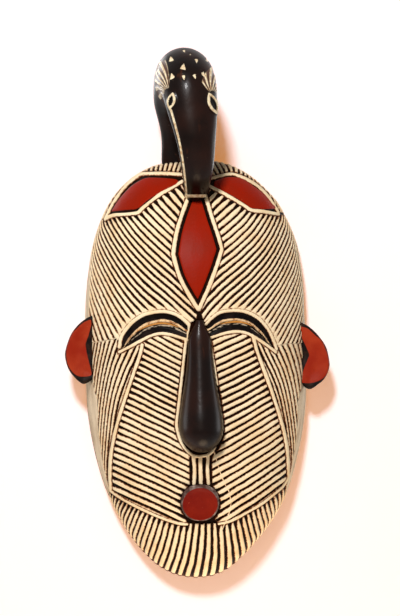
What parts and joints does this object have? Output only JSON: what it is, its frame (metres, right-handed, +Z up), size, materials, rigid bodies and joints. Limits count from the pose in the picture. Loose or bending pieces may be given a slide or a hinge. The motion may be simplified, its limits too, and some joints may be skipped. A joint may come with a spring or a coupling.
{
  "type": "carved wall mask",
  "caption": "Oval hollow-backed wooden wall mask with let-in nose, round mouth plug, half-moon ears and a long-billed bird crest bent down to the forehead.",
  "frame": {"origin": "the point on the wall plane where a wall nail carries the middle notch of the hanger strip", "axes": "+X to the right of someone who faces the mask, +Y from the face to the wall, +Z up; the flat back rim lies in y = 0"},
  "size_m": [0.229, 0.1104, 0.4568],
  "materials": {
    "striped_face": "cream-painted ridges over dark brown gouged grooves, satin",
    "black_gloss": "black paint, polished",
    "red_paint": "brick-red paint, satin, black edges",
    "bare_wood": "bare pale hardwood",
    "steel": "plain stamped and drawn steel"
  },
  "bodies": {
    "root": {"face_shell": "striped_face", "bird_crest": "black_gloss", "neck_dowel": "bare_wood", "bill_peg": "bare_wood", "nose": "black_gloss", "mouth_plug": "red_paint", "ear_left": "red_paint", "ear_right": "red_paint", "hanger_strip": "steel", "nose_peg_upper": "bare_wood", "nose_peg_lower": "bare_wood", "hanger_nail_left": "steel", "hanger_nail_right": "steel"}
  },
  "joints": []
}
